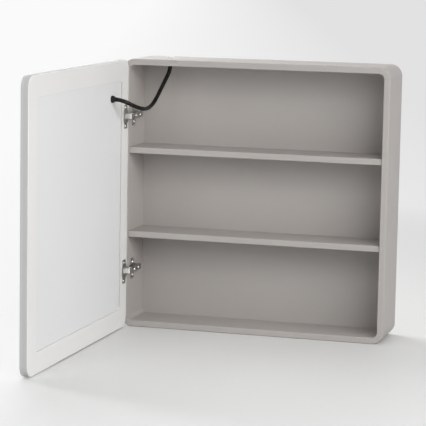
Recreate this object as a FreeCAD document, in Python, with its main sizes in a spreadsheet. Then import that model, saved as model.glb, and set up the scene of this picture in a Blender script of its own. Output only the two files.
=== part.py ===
import FreeCAD, Part
import math
import os
import re

import Sketcher

# A wall-hung bathroom cabinet with one lit mirror door, standing open at a right angle.
# The origin is the middle of the carcass underside, +Z is up and the door side faces -Y.
# The door is drawn closed and then turned about its hinge line to its resting angle.

SIZES = {
    # carcass boards
    "cabinet_width": 700,
    "cabinet_height": 700,
    "cabinet_depth": 150,
    "board_thickness": 16,
    "corner_radius": 30,
    "outer_arris": 2.5,
    "inner_arris": 1.2,
    "cut_overrun": 2,
    # dowels that join the boards to the corner posts
    "dowel_radius": 3,
    "dowel_length": 22,
    "dowel_edge_distance": 32,
    "dowel_end_gap": 0.5,
    "wood_fit": 0.05,
    # back board
    "back_inset": 18,
    "back_thickness": 6,
    "groove_depth": 5,
    "groove_clearance": 0.3,
    # shelves
    "shelf_thickness": 16,
    "shelf_setback": 5,
    "shelf_end_gap": 0.6,
    "shelf_arris": 2,
    "shelf_below_hinge": 97,
    "shelf_above_hinge": 87,
    "shelf_pin_radius": 2.5,
    "shelf_pin_length": 18,
    "shelf_pin_edge_distance": 26,
    # wall hangers
    "batten_height": 72,
    "hanger_inset": 120,
    "hanger_width": 72,
    "hanger_height": 44,
    "hanger_thickness": 2,
    "hanger_corner_radius": 5,
    "hanger_fit": 0.3,
    "keyhole_entry_radius": 5,
    "keyhole_slot_radius": 2.75,
    "keyhole_rise": 13,
    "keyhole_below_centre": 6,
    "keyhole_pocket_depth": 10,
    "keyhole_pocket_margin": 3,
    "hanger_screw_spacing": 52,
    "hanger_screw_head_radius": 4,
    "hanger_screw_radius": 2,
    "hanger_screw_length": 13,
    # door
    "door_open_angle": 90,
    "door_inset": 1.5,
    "door_gap": 3,
    "door_thickness": 20,
    "door_arris": 2.5,
    "door_border": 52,
    "opening_corner_radius": 4,
    "cover_ledge": 8,
    "cover_recess": 2.5,
    "cover_thickness": 2,
    "cover_clearance": 0.4,
    "cover_corner_radius": 10,
    # mirror and its light
    "light_ring_width": 14,
    "light_ring_thickness": 7,
    "light_ring_arris": 2,
    "mirror_thickness": 5,
    "mirror_edge_gap": 0.5,
    "led_channel_inset": 2.5,
    "led_channel_width": 9,
    "led_channel_depth": 2.2,
    "led_board_width": 8,
    "led_board_thickness": 1,
    "led_board_end_gap": 6,
    "led_pitch": 32,
    "led_chip_length": 3.5,
    "led_chip_width": 2.8,
    "led_chip_height": 0.7,
    "lead_notch_width": 6,
    "lead_notch_depth": 2,
    "driver_length": 150,
    "driver_width": 40,
    "driver_height": 9,
    "driver_corner_radius": 3,
    "driver_from_grommet": 28,
    # hinges
    "pivot_inset": 9,
    "pivot_forward": 9.5,
    "hinge_end_distance": 148,
    "hinge_pin_radius": 1.4,
    "hinge_pin_length": 18.4,
    "hinge_pin_bevel": 0.3,
    "hinge_pin_clearance": 0.05,
    "hinge_pin_seat": 0.02,
    "hinge_pin_end_gap": 0.1,
    "knuckle_radius": 2.5,
    "knuckle_width": 12.6,
    "knuckle_clearance": 0.4,
    "neck_thickness": 2.4,
    "neck_drop": 0.6,
    "neck_reach": 17.5,
    "neck_overlap": 4,
    "neck_bend_radius": 2,
    "cup_radius": 17.5,
    "cup_edge_distance": 3.5,
    "cup_depth": 10.5,
    "cup_floor": 0.8,
    "cup_fit": 0.1,
    "cup_slot_end_gap": 2,
    "flange_thickness": 1.2,
    "flange_length": 62,
    "flange_rim": 0.6,
    "flange_shoulder_height": 20,
    "flange_waist_height": 9,
    "flange_hinge_side": 9,
    "flange_free_side": 13,
    "flange_corner_radius": 2,
    "cup_screw_spacing": 48,
    "cup_screw_offset": 6,
    "cup_screw_head_radius": 3.6,
    "cup_screw_head_height": 1.4,
    "cup_screw_radius": 1.6,
    "cup_screw_length": 9,
    "arm_start": 4,
    "arm_length": 76,
    "arm_width": 15,
    "arm_height": 12,
    "arm_sheet": 2,
    "arm_nose": 6,
    "arm_wall_gap": 0.5,
    "arm_corner_radius": 3,
    "arm_edge_radius": 1,
    "arm_fix_position": 56,
    "arm_adjust_position": 24,
    "arm_screw_head_radius": 3.8,
    "arm_screw_head_height": 2,
    "arm_screw_radius": 2,
    "arm_screw_length": 7,
    "plate_thickness": 2,
    "plate_start": 13,
    "plate_length": 52,
    "plate_width": 19,
    "plate_wing_start": 27,
    "plate_wing_width": 20,
    "plate_wing_span": 54,
    "plate_corner_radius": 4,
    "plate_screw_position": 37,
    "plate_screw_spacing": 34,
    "plate_screw_head_radius": 3.8,
    "plate_screw_head_height": 1.8,
    "plate_screw_radius": 1.9,
    "plate_screw_length": 13,
    "saddle_start": 16,
    "saddle_length": 46,
    "saddle_clearance": 0.4,
    # cable, its grommet in the door cover and its gland in the top board
    "cable_radius": 5.25,
    "grommet_distance": 125,
    "grommet_drop": 96,
    "grommet_bore_clearance": 0.35,
    "grommet_neck_radius": 7,
    "grommet_neck_fit": 0.1,
    "grommet_flange_radius": 9,
    "grommet_flange_thickness": 6.5,
    "grommet_flange_bevel": 1.2,
    "grommet_lip_radius": 8.6,
    "grommet_lip_thickness": 1.5,
    "grommet_collar_radius": 6.6,
    "grommet_collar_end_radius": 6.2,
    "grommet_collar_length": 3.5,
    "grommet_membrane": 1,
    "lead_hole_radius": 1,
    "gland_inset": 100,
    "gland_depth": 84,
    "gland_bore_clearance": 0.4,
    "gland_tube_radius": 7.5,
    "gland_flange_radius": 11,
    "gland_flange_thickness": 3,
    "gland_flange_bevel": 1.5,
    "gland_nut_radius": 10.5,
    "gland_nut_height": 3.6,
    "gland_fit": 0.1,
}

# Head and recess of a screw, as shares of its head's radius and height.
HEAD_CROWN_SHARE = 0.62
RECESS_WIDTH_SHARE = 0.3
RECESS_LENGTH_SHARE = 0.56
RECESS_DEPTH_SHARE = 0.7

# Route of the cable from the door's grommet up into the gland, chosen by hand, in millimetres:
# in from the left side's outer face, back from the front plane, and down from the top face.
CABLE_ROUTE = [
    (11.5, -127, 96),
    (31, -127, 96),
    (51.5, -122.5, 99.5),
    (66, -110, 107),
    (75, -88, 116.5),
    (79.5, -55, 125),
    (81.5, -18, 128),
    (83, 16, 122.5),
    (85, 42, 105),
    (89, 62, 80),
    (94.5, 76, 54),
    (100, 84, 30),
    (100, 84, 7),
]
# Reach of each bend along the shorter of its two runs.
BEND_REACH_SHARE = 0.45

TOLERANCE = 1e-4
X_AXIS = FreeCAD.Vector(1, 0, 0)
Y_AXIS = FreeCAD.Vector(0, 1, 0)
Z_AXIS = FreeCAD.Vector(0, 0, 1)
PLANE_NORMALS = {"XY_Plane": Z_AXIS, "XZ_Plane": Y_AXIS, "YZ_Plane": X_AXIS}
DIRECTIONS = {"+X": X_AXIS, "-X": -X_AXIS, "+Y": Y_AXIS, "-Y": -Y_AXIS, "+Z": Z_AXIS, "-Z": -Z_AXIS}

# Reference lines and faces, as expressions of the driving sizes.
LEFT = "(-cabinet_width / 2)"
RIGHT = "(cabinet_width / 2)"
FRONT = "(-cabinet_depth / 2)"
REAR = "(cabinet_depth / 2)"
BOTTOM = "(0)"
TOP = "(cabinet_height)"
CEILING = "(cabinet_height - board_thickness)"
WALL = "(-cabinet_width / 2 + board_thickness)"
BACK_FRONT = "(cabinet_depth / 2 - back_inset - back_thickness)"
BACK_REAR = "(cabinet_depth / 2 - back_inset)"
DOOR_INNER = "(-cabinet_depth / 2 - door_gap)"
DOOR_OUTER = "(-cabinet_depth / 2 - door_gap - door_thickness)"
DOOR_CORNER = "(corner_radius - door_inset)"
RING_BACK = f"({DOOR_OUTER} + light_ring_thickness)"
COVER_FACE = f"({DOOR_INNER} - cover_recess)"
COVER_BACK = f"({DOOR_INNER} - cover_recess - cover_thickness)"
PIVOT_X = "(-cabinet_width / 2 + pivot_inset)"
PIVOT_Y = "(-cabinet_depth / 2 - pivot_forward)"
CUP_X = "(-cabinet_width / 2 + door_inset + cup_edge_distance + cup_radius)"
GROMMET_X = "(-cabinet_width / 2 + door_inset + grommet_distance)"
GROMMET_Z = "(cabinet_height - grommet_drop)"
HINGES = {"upper": "(cabinet_height - hinge_end_distance)", "lower": "(hinge_end_distance)"}
# Undersides of the shelves, kept clear of the hinges above and below them.
SHELVES = {"upper": f"({HINGES['upper']} - shelf_below_hinge)",
           "lower": f"({HINGES['lower']} + shelf_above_hinge)"}
SIDES = {"left": "-", "right": "+"}

doc = FreeCAD.newDocument("MirrorCabinet")
sheet = doc.addObject("Spreadsheet::Sheet", "Sizes")
for row, (alias, amount) in enumerate(SIZES.items(), 1):
    sheet.set(f"A{row}", alias)
    sheet.set(f"B{row}", str(amount))
    sheet.setAlias(f"B{row}", alias)
doc.recompute()


def cell(expression):
    """Turns the size names of an expression into references to the sheet."""
    return re.sub(r"\b[a-z]\w*", r"Sizes.\g<0>", expression)


def size(expression):
    """Gives the number that an expression of size names stands for."""
    return float(sheet.evalExpression(cell(expression)))


def bind(item, **expressions):
    """Ties properties of a document object to expressions of size names."""
    for name, expression in expressions.items():
        item.setExpression(name, cell(expression))
    return item


def place(item, point, direction="+Z"):
    """Puts an object at a point of three expressions, its own Z axis along a direction."""
    item.Placement = FreeCAD.Placement(FreeCAD.Vector(), FreeCAD.Rotation(Z_AXIS, DIRECTIONS[direction]))
    for axis, expression in zip("xyz", point):
        item.setExpression(f"Placement.Base.{axis}", cell(expression))
    return item


def box(name, x, y, z):
    """A block between a low and a high expression on each axis."""
    item = doc.addObject("Part::Box", name)
    spans = [f"({high}) - ({low})" for low, high in (x, y, z)]
    bind(item, Length=spans[0], Width=spans[1], Height=spans[2])
    return place(item, (x[0], y[0], z[0]))


def rod(name, direction, start, radius, length):
    """A round bar from a start point along one of the six axis directions."""
    item = bind(doc.addObject("Part::Cylinder", name), Radius=radius, Height=length)
    return place(item, start, direction)


def taper(name, direction, start, radius, end_radius, length):
    """A cone frustum from a start point along one of the six axis directions."""
    item = bind(doc.addObject("Part::Cone", name), Radius1=radius, Radius2=end_radius, Height=length)
    return place(item, start, direction)


def cut(name, base, *tools):
    """Takes each tool from the base in turn, and names the last result."""
    for number, tool in enumerate(tools, 1):
        result = doc.addObject("Part::Cut", name if number == len(tools) else f"{name}_cut_{number}")
        result.Base = base
        result.Tool = tool
        base = result
    return base


def fuse(name, *pieces):
    """Joins overlapping or touching pieces into one solid."""
    result = doc.addObject("Part::MultiFuse", name)
    result.Shapes = list(pieces)
    return result


def group(name, pieces):
    """Holds separate solids of one kind together in one object."""
    result = doc.addObject("Part::Compound", name)
    result.Links = list(pieces)
    return result


def pin_point(sketch, edge, point, x, y):
    """Fixes one end of a sketch line by two dimensions from the sketch's origin."""
    for axis, expression, origin_axis in (("X", x, -2), ("Y", y, -1)):
        amount = size(expression)
        if abs(amount) < TOLERANCE:
            sketch.addConstraint(Sketcher.Constraint("PointOnObject", edge, point, origin_axis))
        else:
            dimension = Sketcher.Constraint("Distance" + axis, -1, 1, edge, point, amount)
            number = sketch.addConstraint(dimension)
            sketch.setExpression(f"Constraints[{number}]", cell(expression))


def outline(body, plane, corners, lift, axis=None):
    """Draws a closed outline on an origin plane of a body, with an upright axis line if one is given."""
    sketch = body.newObject("Sketcher::SketchObject", body.Name + "_outline")
    support = next(item for item in body.Origin.OriginFeatures if item.Role == plane)
    sketch.AttachmentSupport = [(support, "")]
    sketch.MapMode = "FlatFace"
    sketch.setExpression("AttachmentOffset.Base.z", cell(lift))
    points = [FreeCAD.Vector(size(x), size(y), 0) for x, y in corners]
    following = points[1:] + points[:1]
    for start, end in zip(points, following):
        sketch.addGeometry(Part.LineSegment(start, end), False)
    for number in range(len(points)):
        joined = (number + 1) % len(points)
        sketch.addConstraint(Sketcher.Constraint("Coincident", number, 2, joined, 1))
    for number, corner in enumerate(corners):
        pin_point(sketch, number, 1, *corner)
    if axis:
        foot = FreeCAD.Vector(size(axis), points[0].y, 0)
        line = sketch.addGeometry(Part.LineSegment(foot, foot + Y_AXIS), True)
        pin_point(sketch, line, 1, axis, corners[0][1])
        pin_point(sketch, line, 2, axis, f"{corners[0][1]} + cut_overrun")
    return sketch


def round_edges(body, radius, test):
    """Fillets those edges of a body that pass a test."""
    doc.recompute()
    base = body.Tip
    names = [f"Edge{number}" for number, edge in enumerate(base.Shape.Edges, 1) if test(edge)]
    fillet = body.newObject("PartDesign::Fillet", body.Name + "_fillet")
    fillet.Base = (base, names)
    bind(fillet, Radius=radius)
    return body


def along(axis):
    """Gives a test for straight edges that run along an axis."""
    def test(edge):
        span = edge.valueAt(edge.LastParameter) - edge.valueAt(edge.FirstParameter)
        return abs(abs(span.dot(axis)) - edge.Length) < TOLERANCE
    return test


def at(**levels):
    """Gives a test for edges that lie wholly at the given levels, such as y=FRONT."""
    wanted = {axis.upper(): size(level) for axis, level in levels.items()}

    def test(edge):
        bounds = edge.BoundBox
        return all(abs(getattr(bounds, axis + end) - level) < TOLERANCE
                   for axis, level in wanted.items() for end in ("Min", "Max"))
    return test


def plate(name, plane, corners, low, thickness, rounding=None):
    """A board of constant thickness: an outline padded from a low level, its corners rounded."""
    body = doc.addObject("PartDesign::Body", name)
    profile = outline(body, plane, corners, f"-({low}) - ({thickness})" if plane == "XZ_Plane" else low)
    pad = body.newObject("PartDesign::Pad", name + "_pad")
    pad.Profile = profile
    bind(pad, Length=thickness)
    if rounding:
        round_edges(body, rounding, along(PLANE_NORMALS[plane]))
    return body


def turned(name, plane, corners, lift, axis, angle=360, backward=False):
    """A turned piece: an outline revolved about the upright line at one sketch abscissa."""
    body = doc.addObject("PartDesign::Body", name)
    profile = outline(body, plane, corners, lift, axis)
    turn = body.newObject("PartDesign::Revolution", name + "_turn")
    turn.Profile = profile
    turn.ReferenceAxis = (profile, ["Axis0"])
    turn.Angle = angle
    turn.Reversed = backward
    return body


def rectangle(left, right, low, high):
    """The four corners of a rectangle."""
    return [(left, low), (right, low), (right, high), (left, high)]


def inset_rectangle(inset):
    """The cabinet's front outline, drawn in by an inset."""
    return rectangle(f"{LEFT} + ({inset})", f"{RIGHT} - ({inset})", f"{inset}", f"{TOP} - ({inset})")


def door_layer(name, inset, low, thickness, rounding=None):
    """A flat layer of the door: the door's outline drawn in by an inset, its corners concentric."""
    corners = inset_rectangle(f"door_inset + {inset}")
    return plate(name, "XZ_Plane", corners, low, thickness, rounding or f"{DOOR_CORNER} - ({inset})")


def seats(x, y, z, axis, spacing):
    """A pair of points at a spacing along one axis, as a name and three expressions each."""
    pair = []
    for end, sign in (("first", "-"), ("second", "+")):
        point = {"x": x, "y": y, "z": z}
        point[axis] = f"({point[axis]} {sign} {spacing} / 2)"
        pair.append((end, tuple(point.values())))
    return pair


def screw(name, direction, seat, kind):
    """A pan-head screw with a cross recess, its head on the seat and its shank along the direction."""
    sign = "+" if direction[0] == "-" else "-"
    head = f"{kind}_head_radius"
    height = f"{kind}_head_height"
    crown = taper(f"{name}_head", sign + direction[1], seat, head, f"{head} * {HEAD_CROWN_SHARE}", height)
    blank = fuse(f"{name}_blank", crown, rod(f"{name}_shank", direction, seat, f"{kind}_radius", f"{kind}_length"))
    shares = [f"{head} * {RECESS_WIDTH_SHARE} / 2", f"{head} * {RECESS_LENGTH_SHARE}"]
    depth_axis = "XYZ".index(direction[1])
    across = [axis for axis in range(3) if axis != depth_axis]
    levels = [f"{seat[depth_axis]} {sign} {height} * (1 - {RECESS_DEPTH_SHARE})",
              f"{seat[depth_axis]} {sign} {height} * (1 + {RECESS_DEPTH_SHARE})"]
    bars = []
    for reaches in (shares, shares[::-1]):
        spans = [tuple(levels if sign == "+" else levels[::-1])] * 3
        for axis, reach in zip(across, reaches):
            spans[axis] = (f"{seat[axis]} - {reach}", f"{seat[axis]} + {reach}")
        bars.append(box(f"{name}_recess_{len(bars)}", *spans))
    return cut(name, blank, *bars)


def bore(name, direction, seat, kind, length):
    """A screw's hole, wider than its shank by the wood fit."""
    return rod(name, direction, seat, f"{kind}_radius + wood_fit", length)


def board_section(face, inward):
    """Section of a carcass board: across its thickness from the outer face, and from front to rear."""
    inside = f"({face} {inward} board_thickness)"
    floor = f"({face} {inward} (board_thickness - groove_depth))"
    groove_rear = f"({BACK_REAR} + groove_clearance)"
    return [(face, FRONT), (inside, FRONT), (inside, BACK_FRONT), (floor, BACK_FRONT),
            (floor, groove_rear), (inside, groove_rear), (inside, REAR), (face, REAR)]


def soften_front(body, outer_test, inner_test):
    """Rounds the outer and inner arris of a board's front edge."""
    round_edges(body, "outer_arris", outer_test)
    return round_edges(body, "inner_arris", inner_test)


def side_board(name, face, inward):
    """An upright side between two corner posts."""
    corners = board_section(face, inward)
    body = plate(name, "XY_Plane", corners, "corner_radius", "cabinet_height - 2 * corner_radius")
    return soften_front(body, at(x=corners[0][0], y=FRONT), at(x=corners[1][0], y=FRONT))


def level_board(name, face, inward):
    """A top or bottom board between two corner posts."""
    corners = [(y, z) for z, y in board_section(face, inward)]
    body = plate(name, "YZ_Plane", corners, f"{LEFT} + corner_radius", "cabinet_width - 2 * corner_radius")
    return soften_front(body, at(y=FRONT, z=corners[0][1]), at(y=FRONT, z=corners[1][1]))


def front_arc(radius):
    """Gives a test for a quarter-round edge of one radius in the front plane."""
    in_front = at(y=FRONT)
    length = size(radius) * math.pi / 2
    return lambda edge: in_front(edge) and abs(edge.Length - length) < TOLERANCE


def corner_post(name, face, inward, upper):
    """A quarter-round corner: the boards' section turned about the corner's centre line."""
    centre = f"({face} {inward} corner_radius)"
    height = "cabinet_height - corner_radius" if upper else "corner_radius"
    backward = (face == LEFT) != upper
    body = turned(name, "XY_Plane", board_section(face, inward), height, centre, 90, backward)
    return soften_front(body, front_arc("corner_radius"), front_arc("corner_radius - board_thickness"))


def dowel_set(prefix, radius, length):
    """Two dowels across each of the eight seams between boards and corner posts."""
    pieces = []
    for y in (f"{FRONT} + dowel_edge_distance", f"{REAR} - dowel_edge_distance"):
        for sign in SIDES.values():
            for face, inward in ((BOTTOM, "+"), (TOP, "-")):
                upright = (f"{sign} (cabinet_width / 2 - board_thickness / 2)", y,
                           f"{face} {inward} corner_radius - ({length}) / 2")
                level = (f"{sign} (cabinet_width / 2 - corner_radius) - ({length}) / 2", y,
                         f"{face} {inward} board_thickness / 2")
                pieces.append(rod(f"{prefix}_upright_{len(pieces)}", "+Z", upright, radius, length))
                pieces.append(rod(f"{prefix}_level_{len(pieces)}", "+X", level, radius, length))
    return pieces


def pin_set(prefix, radius, length):
    """Hidden pins between the shelf ends and the sides, two at each end."""
    pieces = []
    for height in SHELVES.values():
        for sign in SIDES.values():
            for y in (f"{FRONT} + shelf_pin_edge_distance", f"{BACK_FRONT} - shelf_pin_edge_distance"):
                start = (f"{sign} (cabinet_width / 2 - board_thickness) - ({length}) / 2", y,
                         f"{height} + shelf_thickness / 2")
                pieces.append(rod(f"{prefix}_{len(pieces)}", "+X", start, radius, length))
    return pieces


def plate_screw_seats(level):
    """Seats of one hinge plate's screws on the side's inner face."""
    return seats(WALL, f"({FRONT} + plate_screw_position)", HINGES[level], "z", "plate_screw_spacing")


def carcass():
    """Sides, top, bottom, corner posts, back board, shelves and what joins them."""
    dowel_bores = group("dowel_bores", dowel_set("dowel_bore", "dowel_radius + wood_fit",
                                                 "dowel_length + 2 * dowel_end_gap"))
    pin_bores = group("shelf_pin_bores", pin_set("shelf_pin_bore", "shelf_pin_radius + wood_fit",
                                                 "shelf_pin_length + 2 * dowel_end_gap"))
    plate_bores = group("plate_bores", [
        bore(f"plate_bore_{level}_{end}", "-X", seat, "plate_screw",
             "plate_screw_length - plate_thickness + dowel_end_gap")
        for level in HINGES for end, seat in plate_screw_seats(level)])
    gland_hole = rod("gland_hole", "+Z", (f"{LEFT} + gland_inset", f"{FRONT} + gland_depth", CEILING),
                     "gland_tube_radius + gland_fit", "board_thickness")
    left = side_board("side_left_board", LEFT, "+")
    right = side_board("side_right_board", RIGHT, "-")
    nodes = {
        "side_left": cut("side_left", left, dowel_bores, pin_bores, plate_bores),
        "side_right": cut("side_right", right, dowel_bores, pin_bores),
        "top_panel": cut("top_panel", level_board("top_board", TOP, "-"), dowel_bores, gland_hole),
        "bottom_panel": cut("bottom_panel", level_board("bottom_board", BOTTOM, "+"), dowel_bores),
    }
    for level, upper in (("top", True), ("bottom", False)):
        for side, face, inward in (("left", LEFT, "+"), ("right", RIGHT, "-")):
            name = f"corner_{level}_{side}"
            nodes[name] = cut(name, corner_post(f"{name}_post", face, inward, upper), dowel_bores)
    nodes["corner_dowels"] = group("corner_dowels", dowel_set("dowel", "dowel_radius", "dowel_length"))
    edge = "board_thickness - groove_depth + groove_clearance"
    nodes["back_panel"] = plate("back_panel", "XZ_Plane", inset_rectangle(edge), BACK_FRONT, "back_thickness",
                                f"corner_radius - ({edge})")
    for level, height in SHELVES.items():
        front = f"({FRONT} + shelf_setback)"
        corners = rectangle(front, BACK_FRONT, height, f"{height} + shelf_thickness")
        board = plate(f"shelf_{level}_board", "YZ_Plane", corners, f"{WALL} + shelf_end_gap",
                      "cabinet_width - 2 * board_thickness - 2 * shelf_end_gap")
        round_edges(board, "shelf_arris", lambda edge: at(y=front)(edge) and along(X_AXIS)(edge))
        nodes[f"shelf_{level}"] = cut(f"shelf_{level}", board, pin_bores)
    nodes["shelf_pins"] = group("shelf_pins", pin_set("shelf_pin", "shelf_pin_radius", "shelf_pin_length"))
    return nodes


def hangers():
    """The batten behind the back board, with two keyhole plates let into it and their screws."""
    nodes = {}
    screws = []
    hollows = []
    centre = f"({CEILING} - batten_height / 2)"
    entry = f"({centre} - keyhole_below_centre)"
    rest = f"({entry} + keyhole_rise)"
    face = f"({REAR} - hanger_thickness)"
    behind = f"{REAR} + cut_overrun"
    start = f"({face} - cut_overrun)"
    through = "hanger_thickness + 2 * cut_overrun"
    pocket = "(keyhole_entry_radius + keyhole_pocket_margin)"
    half_width = "hanger_width / 2"
    half_height = "hanger_height / 2"
    for side, sign in SIDES.items():
        x = f"({sign} (cabinet_width / 2 - hanger_inset))"
        corners = rectangle(f"{x} - {half_width}", f"{x} + {half_width}",
                            f"{centre} - {half_height}", f"{centre} + {half_height}")
        blank = plate(f"hanger_blank_{side}", "XZ_Plane", corners, face, "hanger_thickness",
                      "hanger_corner_radius")
        openings = [
            rod(f"keyhole_entry_{side}", "+Y", (x, start, entry), "keyhole_entry_radius", through),
            rod(f"keyhole_rest_{side}", "+Y", (x, start, rest), "keyhole_slot_radius", through),
            box(f"keyhole_throat_{side}", (f"{x} - keyhole_slot_radius", f"{x} + keyhole_slot_radius"),
                (start, behind), (entry, rest)),
        ]
        for end, seat in seats(x, REAR, centre, "x", "hanger_screw_spacing"):
            name = f"hanger_screw_{side}_{end}"
            foot = (seat[0], face, seat[2])
            shank = "hanger_screw_length - hanger_thickness"
            head = taper(f"{name}_head", "-Y", seat, "hanger_screw_head_radius", "hanger_screw_radius",
                         "hanger_thickness")
            screws.append(fuse(name, head, rod(f"{name}_shank", "-Y", foot, "hanger_screw_radius", shank)))
            openings.append(taper(f"{name}_sink", "-Y", seat, "hanger_screw_head_radius + wood_fit",
                                  "hanger_screw_radius + wood_fit", "hanger_thickness"))
            hollows.append(bore(f"{name}_bore", "-Y", foot, "hanger_screw", f"{shank} + dowel_end_gap"))
        nodes[f"hanger_plate_{side}"] = cut(f"hanger_plate_{side}", blank, *openings)
        hollows.append(box(f"hanger_recess_{side}",
                           (f"{x} - {half_width} - hanger_fit", f"{x} + {half_width} + hanger_fit"),
                           (face, behind),
                           (f"{centre} - {half_height} - hanger_fit", f"{centre} + {half_height} + hanger_fit")))
        hollows.append(box(f"keyhole_pocket_{side}", (f"{x} - {pocket}", f"{x} + {pocket}"),
                           (f"{face} - keyhole_pocket_depth", behind),
                           (f"{entry} - {pocket}", f"{rest} + {pocket}")))
    batten = box("batten_blank", (f"{LEFT} + corner_radius", f"{RIGHT} - corner_radius"), (BACK_REAR, REAR),
                 (f"{CEILING} - batten_height", CEILING))
    nodes["hanging_batten"] = cut("hanging_batten", batten, *hollows)
    nodes["hanger_screws"] = group("hanger_screws", screws)
    return nodes


def gland():
    """The bush that carries the cable through the top board, and its nut on top."""
    x = f"({LEFT} + gland_inset)"
    y = f"({FRONT} + gland_depth)"
    hole = f"{x} + cable_radius + gland_bore_clearance"
    flange = f"{x} + gland_flange_radius"
    tube = f"{x} + gland_tube_radius"
    low = f"({CEILING} - gland_flange_thickness)"
    high = f"({TOP} + gland_nut_height)"
    corners = [(hole, low), (f"{flange} - gland_flange_bevel", low), (flange, f"{low} + gland_flange_bevel"),
               (flange, CEILING), (tube, CEILING), (tube, high), (hole, high)]
    nut = bind(doc.addObject("Part::Prism", "gland_nut_blank"),
               Circumradius="gland_nut_radius", Height="gland_nut_height")
    place(nut, (x, y, TOP))
    thread = rod("gland_nut_thread", "+Z", (x, y, TOP), "gland_tube_radius + gland_fit", "gland_nut_height")
    return {"top_gland": turned("top_gland", "XZ_Plane", corners, f"-{y}", x),
            "gland_nut": cut("gland_nut", nut, thread)}


def cable():
    """The cable from the door to the top board: straight runs joined by tangent arcs, a round section swept."""
    points = [FreeCAD.Vector(size(LEFT) + inset, size(FRONT) + depth, size(TOP) - drop)
              for inset, depth, drop in CABLE_ROUTE]
    edges = []
    radii = []
    start = points[0]
    for before, corner, after in zip(points, points[1:], points[2:]):
        reach = BEND_REACH_SHARE * min((corner - before).Length, (after - corner).Length)
        entering = (corner - before).normalize()
        leaving = (after - corner).normalize()
        half_turn = entering.getAngle(leaving) / 2
        radius = reach / math.tan(half_turn)
        first = corner - entering * reach
        last = corner + leaving * reach
        # The arc's middle lies on the inner bisector, short of the centre by the radius.
        middle = corner + (leaving - entering).normalize() * radius * (1 / math.cos(half_turn) - 1)
        edges.append(Part.LineSegment(start, first).toShape())
        edges.append(Part.Arc(first, middle, last).toShape())
        radii.append(round(radius, 1))
        start = last
    edges.append(Part.LineSegment(start, points[-1]).toShape())
    path = Part.Wire(edges)
    circle = Part.Circle(points[0], points[1] - points[0], size("cable_radius"))
    section = Part.Wire([circle.toShape()])
    tube = doc.addObject("Part::Feature", "light_cable")
    tube.Shape = path.makePipeShell([section], True, False)
    print("cable bend radii:", radii)
    print("cable length:", round(path.Length, 1))
    print("cable volume against section times length:",
          round(tube.Shape.Volume / (Part.Face(section).Area * path.Length), 4))
    return {"light_cable": tube}


def hinge_plates():
    """The wall plates of the hinges, each with a raised saddle, and their screws into the side."""
    nodes = {}
    screws = []
    outer = f"({WALL} + plate_thickness)"
    start = f"{FRONT} + plate_start"
    end = f"{start} + plate_length"
    wing_start = f"{FRONT} + plate_wing_start"
    wing_end = f"{wing_start} + plate_wing_width"
    for level, z in HINGES.items():
        low = f"{z} - plate_width / 2"
        high = f"{z} + plate_width / 2"
        wing_low = f"{z} - plate_wing_span / 2"
        wing_high = f"{z} + plate_wing_span / 2"
        corners = [(start, low), (wing_start, low), (wing_start, wing_low), (wing_end, wing_low),
                   (wing_end, low), (end, low), (end, high), (wing_end, high),
                   (wing_end, wing_high), (wing_start, wing_high), (wing_start, high), (start, high)]
        base = plate(f"plate_base_{level}", "YZ_Plane", corners, WALL, "plate_thickness", "plate_corner_radius")
        half = "(arm_width / 2 - arm_sheet - saddle_clearance)"
        saddle = box(f"plate_saddle_{level}", (WALL, f"{WALL} + arm_height - arm_sheet"),
                     (f"{FRONT} + saddle_start", f"{FRONT} + saddle_start + saddle_length"),
                     (f"{z} - {half}", f"{z} + {half}"))
        holes = []
        for end_name, seat in plate_screw_seats(level):
            name = f"plate_screw_{level}_{end_name}"
            screws.append(screw(name, "-X", (outer, seat[1], seat[2]), "plate_screw"))
            holes.append(bore(f"{name}_hole", "+X", seat, "plate_screw", "plate_thickness"))
        for end_name, seat in arm_screw_seats(level):
            holes.append(bore(f"saddle_bore_{level}_{end_name}", "-X", seat, "arm_screw",
                              "arm_screw_length + dowel_end_gap"))
        nodes[f"hinge_plate_{level}"] = cut(f"hinge_plate_{level}", fuse(f"plate_blank_{level}", base, saddle),
                                            *holes)
    nodes["plate_screws"] = group("plate_screws", screws)
    return nodes


def arm_screw_seats(level):
    """Seats of one hinge arm's fixing and adjusting screws, on the arm's outer face."""
    face = f"({WALL} + arm_height)"
    return [("fix", (face, f"({FRONT} + arm_fix_position)", HINGES[level])),
            ("adjust", (face, f"({FRONT} + arm_adjust_position)", HINGES[level]))]


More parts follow.
